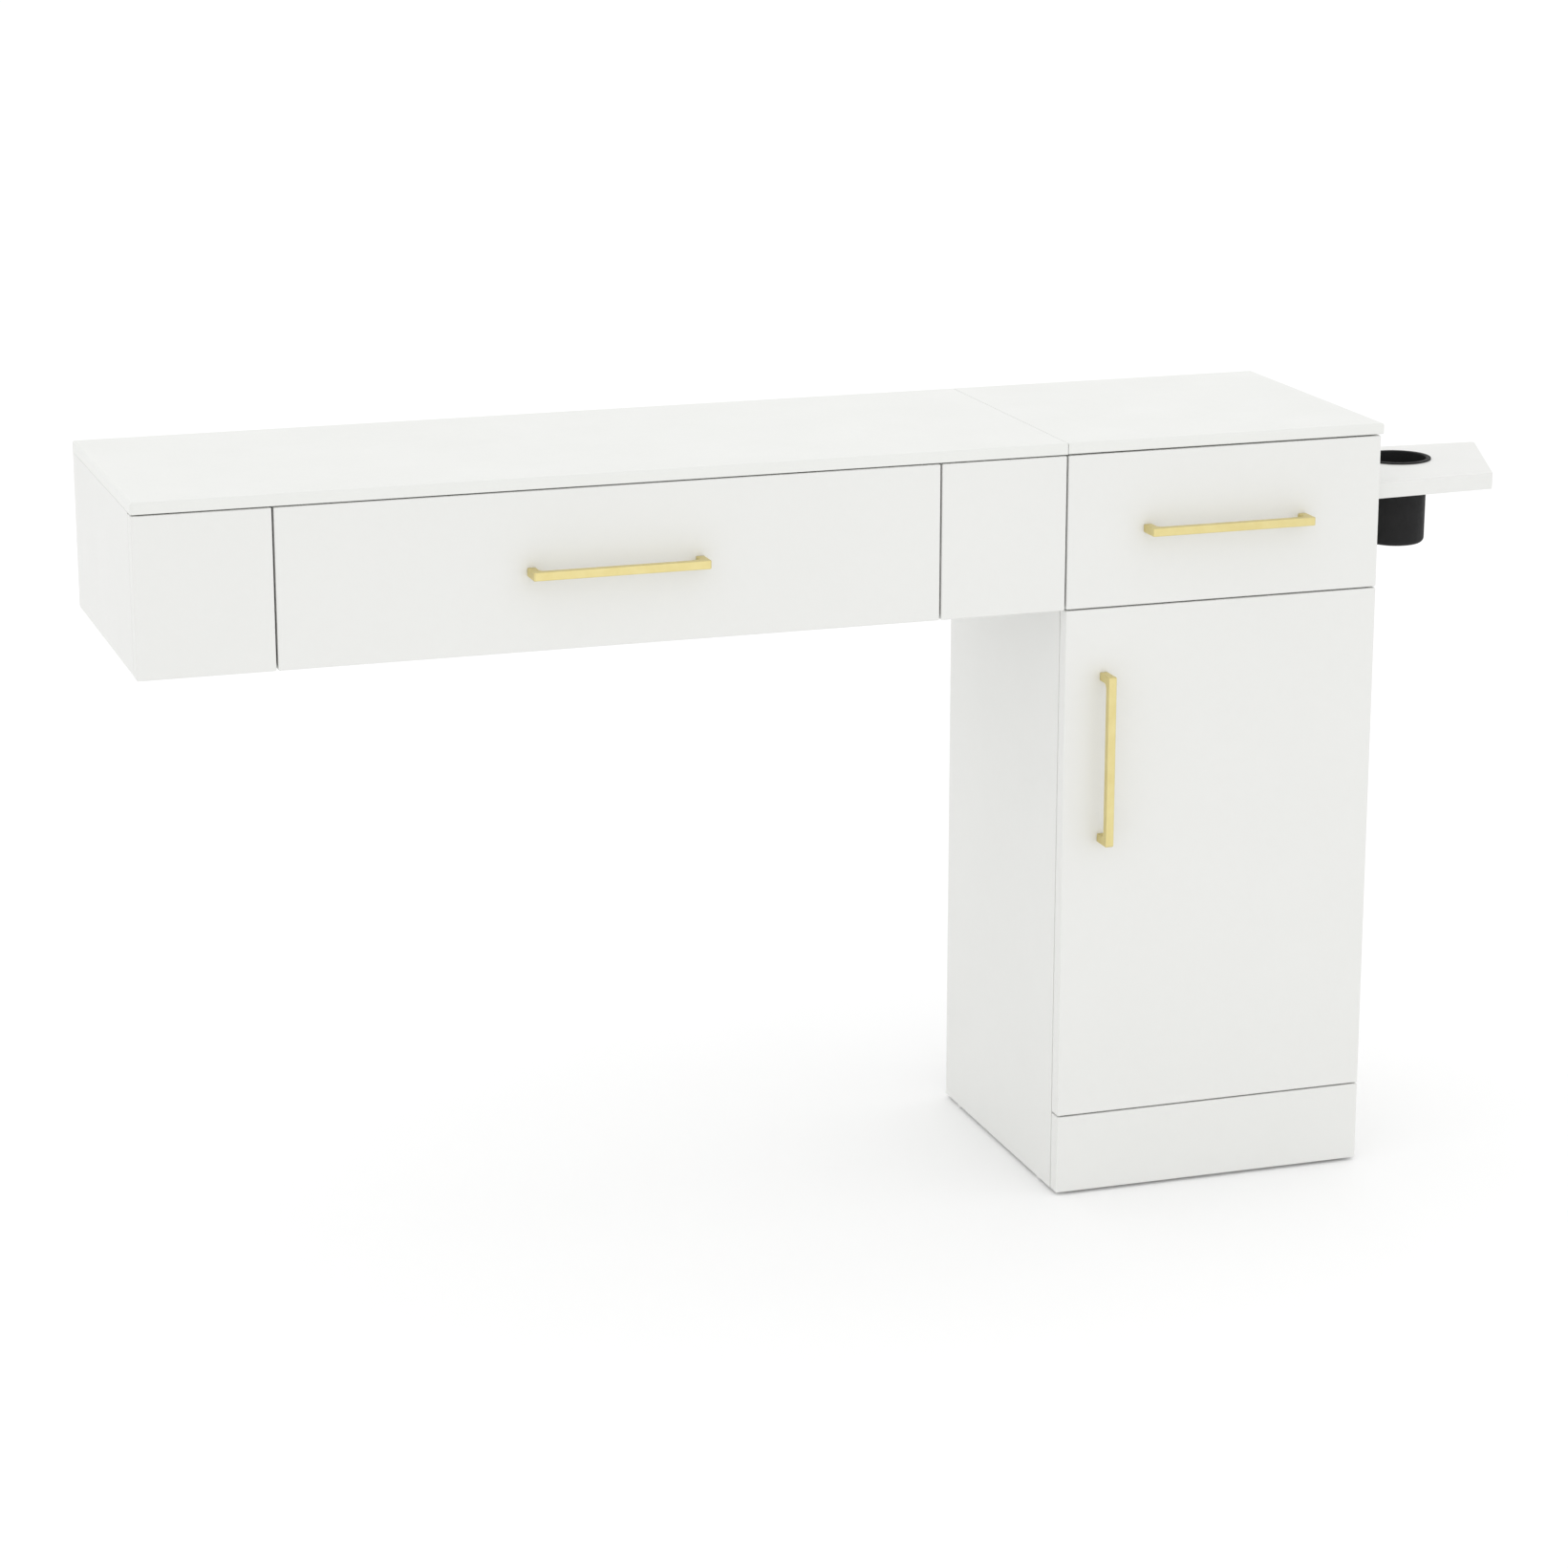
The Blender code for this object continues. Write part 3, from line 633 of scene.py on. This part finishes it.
def build_shelf_pin(name, wall, y, z, inward):
    """A plated pin in the wall with a small angle under the shelf."""
    reach, drop, thick = 0.0090, 0.0130, 0.0012
    top = PIN_DROP - 0.0001
    outline = [(0, top), (reach, top), (reach, top - thick), (thick, top - thick)]
    outline += [(thick, top - drop), (0, top - drop)]
    radii = [0.0004, 0.0004, 0.0004, 0.0008, 0.0004, 0.0004]
    angle = prism(round_corners(outline, radii, 3), -0.0055, 0.0055, None, 0.0004)
    angle.transform(Matrix(((1, 0, 0, 0.0001), (0, 0, -1, 0), (0, 1, 0, 0), (0, 0, 0, 1))))
    tip, end, buried = 0.0021, 0.0004, 0.0080
    shank = [(0, -buried), (tip, -buried), (tip + 0.0003, -0.0074), (tip + 0.0003, end), (0, end)]
    shank = lathe(shank, 24)
    shank.transform(along((1, 0, 0), (0, 0, 0)))
    mesh = joined([angle, shank], name)
    if inward < 0:
        mesh.transform(Matrix.Rotation(math.pi, 4, "Z"))
    mesh.transform(Matrix.Translation((wall, y, z)))
    piece(name, mesh, [NICKEL], "carcass")


def build_glide(node):
    """A nail-on glide: a soft-edged disc with a shallow ring round its nail."""
    low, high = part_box(node)
    radius, tall = (high.x - low.x) / 2, high.z - low.z
    foot = arc((radius - 0.0010, 0.0010), 0.0010, -90, 0, 5)
    profile = [(0, 0.0002), (0.0022, 0.0002), (0.0024, 0.0007), (0.0034, 0.0007), (0.0038, 0)]
    profile += foot + [(radius, tall - 0.0003), (radius - 0.0003, tall), (0, tall)]
    mesh = lathe(profile, 48)
    mesh.transform(Matrix.Translation((middle_of(node, 0), middle_of(node, 1), low.z)))
    piece(node + "_plastic", mesh, [WHITE_PLASTIC], BODY_OF[node], [node])


# Door and hinges.

LEAF_METAL = 0.0012


def build_door():
    board("door_panel", LACQUER, radius=FRONT_EDGE)
    build_handle("door_handle", "door_panel", upright=True)
    for place in ("lower", "upper"):
        build_hinge(place)


def countersunk(at, direction, radius):
    """The cutter for a screw's countersink in a leaf of 1.2 mm."""
    hole, above, below = radius * 0.6, 0.0004, -0.0016
    profile = [(0, below), (hole, below), (hole, -0.0011), (radius + 0.0002, above), (0, above)]
    return lathe(profile, 32, along(direction, at))


def build_hinge(place):
    """Both leaves, drilled and countersunk, with flush screws and a domed pin."""
    pin = f"hinge_{place}_pin"
    level, half = middle_of(pin, 2), LEAF_METAL / 2
    faces = {"frame": (-1, middle_of(pin, 1) - half), "door": (1, middle_of(pin, 1) + half)}
    for leaf, (towards, surface) in faces.items():
        node = f"hinge_{place}_{leaf}_leaf"
        low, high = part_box(node)
        x = low.x + 0.0072
        rise = (high.z - low.z) / 2 - (0.0068 if leaf == "frame" else 0.0080)
        spots = [(x, surface, level + rise), (x, surface, level - rise)]
        cutters = [countersunk(at, (0, towards, 0), 0.0028) for at in spots]
        mesh = cut_from(FRAME["nodes"][node].data.copy(), cutters)
        piece(f"hinge_{place}_{leaf}_plate", mesh, [ZINC], BODY_OF[node], [node])
        seats = [(Vector(at) - Vector((0, towards * 0.0009, 0)), (0, towards, 0)) for at in spots]
        screws(f"hinge_{place}_{leaf}_screws", FLUSH_HEAD, seats, BODY_OF[node])
    low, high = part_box(pin)
    half, head = (high.z - low.z) / 2, (high.x - low.x) / 2
    angles = (1.2, 0.8, 0.4, 0)
    dome = [(head * math.cos(a), half - head * 0.8 * (1 - math.sin(a))) for a in angles]
    profile = [(0, half)] + dome + [(0.0012, half - head * 0.85)]
    profile += [(radius, -rise) for radius, rise in reversed(profile)]
    mesh = lathe(profile, 32)
    mesh.transform(Matrix.Translation((low + high) / 2))
    piece(pin + "_steel", mesh, [NICKEL], BODY_OF[pin], [pin])


# Handles.


def build_handle(node, front, upright=False):
    """A square bar bent back at both ends, with soft outer corners, and its two screws."""
    low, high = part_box(node)
    long, across = (2, 0) if upright else (0, 2)
    half, reach, wide = (high[long] - low[long]) / 2, high.y - low.y, high[across] - low[across]
    outline = [(-half, 0), (-half, reach), (half, reach), (half, 0)]
    outline += [(half - wide, 0), (half - wide, reach - wide)]
    outline += [(wide - half, reach - wide), (wide - half, 0)]
    outside, inside, edge = 0.0024, 0.0060, 0.0009
    outline = round_corners(outline, [0, outside, outside, 0, 0, inside, inside, 0], 8)
    along_bar = Vector((0, 0, 1)) if upright else Vector((1, 0, 0))
    outward = Vector((0, -1, 0))
    matrix = Matrix((along_bar, outward, along_bar.cross(outward))).transposed().to_4x4()
    matrix.translation = ((low.x + high.x) / 2, high.y, (low.z + high.z) / 2)
    mesh = prism(outline, -wide / 2, wide / 2, matrix, edge)
    material = GOLD_ALONG_Z if upright else GOLD_ALONG_X
    piece(node + "_bar", mesh, [material], BODY_OF[node], [node])
    back_of_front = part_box(front)[1].y
    posts = [matrix.translation + along_bar * k * (half - wide / 2) for k in (-1, 1)]
    spots = [(Vector((post.x, back_of_front, post.z)), (0, 1, 0)) for post in posts]
    screws(node + "_screws", PAN_HEAD, spots, BODY_OF[node])


# Drawers and their slides.

SHEET_METAL = 0.0012
SLIDE_SCREWS = (0.037, 0.133, 0.229)
SLIDE_HOLES = (0.060, 0.101, 0.165, 0.197, 0.255)
SLIDE_HOLE = 0.0022
SLIDE_HOLE_LENGTH = 0.004

# Each ball cage lies between two channels, from its start behind the middle channel's front.
CAGES = (("cabinet", "middle", 0.170), ("middle", "drawer", 0.010))
CAGE_LENGTH = 0.1
CAGE_HALF_WIDTH = 0.0022
CAGE_HALF_THICKNESS = 0.0002
BALLS_IN_A_ROW = 13
FIRST_BALL = 0.005
BALL_PITCH = 0.0075


def build_drawer(name):
    board(f"{name}_front", LACQUER, radius=FRONT_EDGE)
    for part in ("left_side", "right_side", "back"):
        board(f"{name}_{part}", DRAWER_FOIL, EDGE_BAND, radius=0.0008)
    board(f"{name}_bottom", DRAWER_FOIL, radius=0.0003)
    build_handle(f"{name}_handle", f"{name}_front")
    for side in ("left", "right"):
        build_slide(f"{name}_{side}_slide", 1 if side == "left" else -1)


def build_slide(name, towards):
    """Three rolled channels with their holes, screws, ball cages and release lever."""
    thick, bend, lip = SHEET_METAL, 0.0015, 0.0004
    web_at = {}
    for member in ("cabinet", "middle", "drawer"):
        node = f"{name}_{member}_member"
        low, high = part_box(node)
        half = (high.z - low.z) / 2
        across = (low.x, high.x) if (member == "drawer") != (towards > 0) else (high.x, low.x)
        web, tip = across
        inward = math.copysign(1, tip - web)
        inner = web + thick * inward
        web_at[member] = (inner, inward)
        outline = [(web, -half), (tip, -half), (tip, thick - half), (inner, thick - half)]
        outline += [(inner, half - thick), (tip, half - thick), (tip, half), (web, half)]
        level = middle_of(node, 2)
        matrix = Matrix(((1, 0, 0, 0), (0, 0, -1, 0), (0, 1, 0, level), (0, 0, 0, 1)))
        rounded = round_corners(outline, [bend] + [lip] * 6 + [bend], 4)
        mesh = prism(rounded, -high.y, -low.y, matrix, 0.0003)
        web_middle = (web + inner) / 2
        holes = [
            drilled(web_middle, low.y + y, level, (1, 0, 0), SLIDE_HOLE, SLIDE_HOLE_LENGTH, 0)
            for y in SLIDE_HOLES
        ]
        mesh = cut_from(mesh, holes)
        piece(f"{name}_{member}_channel", mesh, [ZINC], BODY_OF[node], [node])
        if member != "middle":
            head = LOW_HEAD if member == "cabinet" else PAN_HEAD
            spots = [(Vector((inner, low.y + y, level)), (inward, 0, 0)) for y in SLIDE_SCREWS]
            screws(f"{name}_{member}_screws", head, spots, BODY_OF[node])
    build_cages(name)
    build_lever(name, *web_at["drawer"])


def build_cages(name):
    """Ball rows between the channels: one set at the middle channel's back, one at its front."""
    boxes = {m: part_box(f"{name}_{m}_member") for m in ("cabinet", "middle", "drawer")}
    level = middle_of(f"{name}_middle_member", 2)
    body = BODY_OF[f"{name}_middle_member"]
    balls, strips = [], []
    for outer, inner, start in CAGES:
        outer_half = (boxes[outer][1].z - boxes[outer][0].z) / 2 - SHEET_METAL
        inner_half = (boxes[inner][1].z - boxes[inner][0].z) / 2
        radius = (outer_half - inner_half) / 2 - 0.00005
        x = (max(boxes[outer][0].x, boxes[inner][0].x) + min(boxes[outer][1].x, boxes[inner][1].x)) / 2
        front = boxes["middle"][0].y + start
        rise = (outer_half + inner_half) / 2
        for z in (level + rise, level - rise):
            low = (x - CAGE_HALF_WIDTH, front, z - CAGE_HALF_THICKNESS)
            high = (x + CAGE_HALF_WIDTH, front + CAGE_LENGTH, z + CAGE_HALF_THICKNESS)
            strips.append(box_mesh(low, high, 0.0001))
            for k in range(BALLS_IN_A_ROW):
                work = bmesh.new()
                bmesh.ops.create_icosphere(work, subdivisions=2, radius=radius)
                ball = mesh_from(work, "ball")
                ball.transform(Matrix.Translation((x, front + FIRST_BALL + BALL_PITCH * k, z)))
                balls.append(ball)
    piece(f"{name}_balls", joined(balls, "balls"), [NICKEL], body)
    piece(f"{name}_cages", joined(strips, "cages"), [ZINC], body)


def build_lever(name, web, inward):
    """The black lever in the drawer channel that frees the drawer."""
    node = f"{name}_drawer_member"
    front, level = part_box(node)[0].y, middle_of(node, 2)
    outline = [(0.046, -0.0040), (0.086, -0.0022), (0.124, -0.0016)]
    outline += [(0.124, 0.0016), (0.086, 0.0022), (0.046, 0.0040)]
    outline = round_corners(outline, [0.0030, 0.004, 0.0012, 0.0012, 0.004, 0.0030], 5)
    mesh = prism(outline, 0.0001, 0.0020, None, 0.0004)
    matrix = Matrix(((0, 0, inward, web), (1, 0, 0, front), (0, 1, 0, level), (0, 0, 0, 1)))
    mesh.transform(matrix)
    if inward < 0:
        mesh.flip_normals()
    piece(f"{name}_lever", mesh, [BLACK_PLASTIC], BODY_OF[node])


# The tool holder and its cup.

HOLDER_CORNERS = [(0.8668, -0.3300), (1.0200, -0.3190), (1.0850, -0.1470), (0.8668, -0.1340)]
HOLDER_CORNER_RADII = [0.0004, 0.0035, 0.0035, 0.0004]
HOLDER_EDGE = 0.0020
HOLDER_HOLE = 0.0355


def build_tool_holder():
    low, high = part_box("holder_board")
    x, y = middle_of("tool_cup", 0), middle_of("tool_cup", 1)
    outline = round_corners(HOLDER_CORNERS, HOLDER_CORNER_RADII, 6)
    mesh = prism(outline, low.z, high.z, None, HOLDER_EDGE)
    middle, half, radius = (low.z + high.z) / 2, (high.z - low.z) / 2, HOLDER_HOLE
    flare = [(radius + 0.0010, -half - 0.0002), (radius, 0.0010 - half)]
    profile = [(0, -half - 0.0002)] + flare
    profile += [(r, -z) for r, z in reversed(profile)]
    cutters = [lathe(profile, 96, Matrix.Translation((x, y, middle)))]
    for node in HOLDER_SCREWS:
        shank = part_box(node)[1].x
        size = (0.0022, shank - low.x + 0.001, 0)
        cutters.append(drilled((low.x + shank) / 2, middle_of(node, 1), middle, (1, 0, 0), *size))
    mesh = cut_from(mesh, cutters)
    piece("holder_board_panel", mesh, [LACQUER], "carcass", ["holder_board"])
    for node in HOLDER_SCREWS:
        build_holder_screw(node)
    build_cup(x, y)


def build_holder_screw(node):
    """A washer-headed wood screw from inside the tower into the holder board."""
    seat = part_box("tower_right_side")[0].x - 0.0003
    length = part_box(node)[1].x - seat
    shank = lathe([(0, 0.001), (0.0018, 0.001), (0.0018, 0.006 - length), (0, -length)], 24)
    head = joined([PAN_HEAD, shank], node)
    head.transform(along((-1, 0, 0), (seat, middle_of(node, 1), middle_of(node, 2))))
    piece(node + "_steel", head, [NICKEL], BODY_OF[node], [node])


def build_cup(x, y):
    """A spun cup: slight draught, rounded foot, flat lip with a soft rim, and a dished floor."""
    low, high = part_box("tool_cup")
    lip, tall = (high.x - low.x) / 2, high.z - low.z
    body, foot, wall, rim = 0.0350, 0.0344, 0.0015, 0.0015
    floor = 0.0022
    profile = [(0, floor + 0.0004), (0.012, floor + 0.0003)]
    profile += arc((foot - wall - 0.0050, floor + 0.0050), 0.0050, -90, 0, 10)
    profile += arc((body - wall + 0.0012, tall - 0.0012), 0.0012, 180, 90, 6)
    profile += arc((lip - 0.0006, tall - 0.0006), 0.0006, 90, 0, 5)
    profile += arc((lip - 0.0004, tall - rim + 0.0004), 0.0004, 0, -90, 4)
    profile += [(body + 0.0002, tall - rim), (body, tall - rim - 0.0003)]
    profile += arc((foot - 0.0060, 0.0060), 0.0060, 0, -90, 10)
    profile += [(0.0262, 0), (0.0254, 0.0007), (0, 0.0008)]
    mesh = lathe(profile, 128)
    mesh.transform(Matrix.Translation((x, y, low.z)))
    piece("tool_cup_shell", mesh, [BLACK], "tool_cup", ["tool_cup"])


# Camera, floor and light.

CAMERA_PLACE = (-1.1988, -4.5145, 0.9513)
CAMERA_YAW = math.radians(18.346)
CAMERA_PITCH = math.radians(15.384)
CAMERA_LENS = 98.63

# The floor lies a little under the glides, so that their faces never coincide.
FLOOR_DROP = 0.0002
FLOOR_HALF_WIDTH = 40.0


def place_camera():
    level = math.cos(CAMERA_PITCH)
    forward = Vector(
        (math.sin(CAMERA_YAW) * level, math.cos(CAMERA_YAW) * level, -math.sin(CAMERA_PITCH))
    )
    lens = bpy.data.cameras.new("camera")
    lens.lens = CAMERA_LENS
    lens.sensor_width = 36
    lens.clip_end = 200
    camera = bpy.data.objects.new("camera", lens)
    camera.location = CAMERA_PLACE
    camera.rotation_euler = forward.to_track_quat("-Z", "Y").to_euler()
    bpy.context.scene.collection.objects.link(camera)
    bpy.context.scene.camera = camera


def make_floor():
    half, level = FLOOR_HALF_WIDTH, FLOOR - FLOOR_DROP
    work = bmesh.new()
    corners = [(-half, -half), (half, -half), (half, half), (-half, half)]
    work.faces.new([work.verts.new((x, y, level)) for x, y in corners])
    floor = loose_object(mesh_from(work, "floor"))
    s = Surface("pale_floor")
    s.colour(s.noise(0.9, 3), (0.3, (0.955, 0.955, 0.955)), (0.7, (0.965, 0.965, 0.965)))
    s.roughness(s.noise(0.5, 2), 0.75, 0.85)
    floor.data.materials.append(s.material)


def soft_light(name, place, aim, size, power):
    lamp = bpy.data.lights.new(name, "AREA")
    lamp.shape = "RECTANGLE"
    lamp.size, lamp.size_y = size
    lamp.energy = power
    made = bpy.data.objects.new(name, lamp)
    made.location = place
    made.rotation_euler = (Vector(aim) - Vector(place)).to_track_quat("-Z", "Y").to_euler()
    bpy.context.scene.collection.objects.link(made)


def light_the_studio():
    scene = bpy.context.scene
    scene.view_settings.view_transform = "Standard"
    scene.view_settings.look = "None"
    world = bpy.data.worlds.new("studio")
    world.use_nodes = True
    world.node_tree.nodes["Background"].inputs["Color"].default_value = (1, 1, 1, 1)
    world.node_tree.nodes["Background"].inputs["Strength"].default_value = 1.10
    scene.world = world
    soft_light("fill", (0.5, -2.6, -0.2), (0.6, -0.2, -0.6), (2.0, 1.0), 1.8)


build_beam()
build_tower()
build_door()
build_drawer("beam_drawer")
build_drawer("tower_drawer")
build_tool_holder()
place_camera()
make_floor()
light_the_studio()
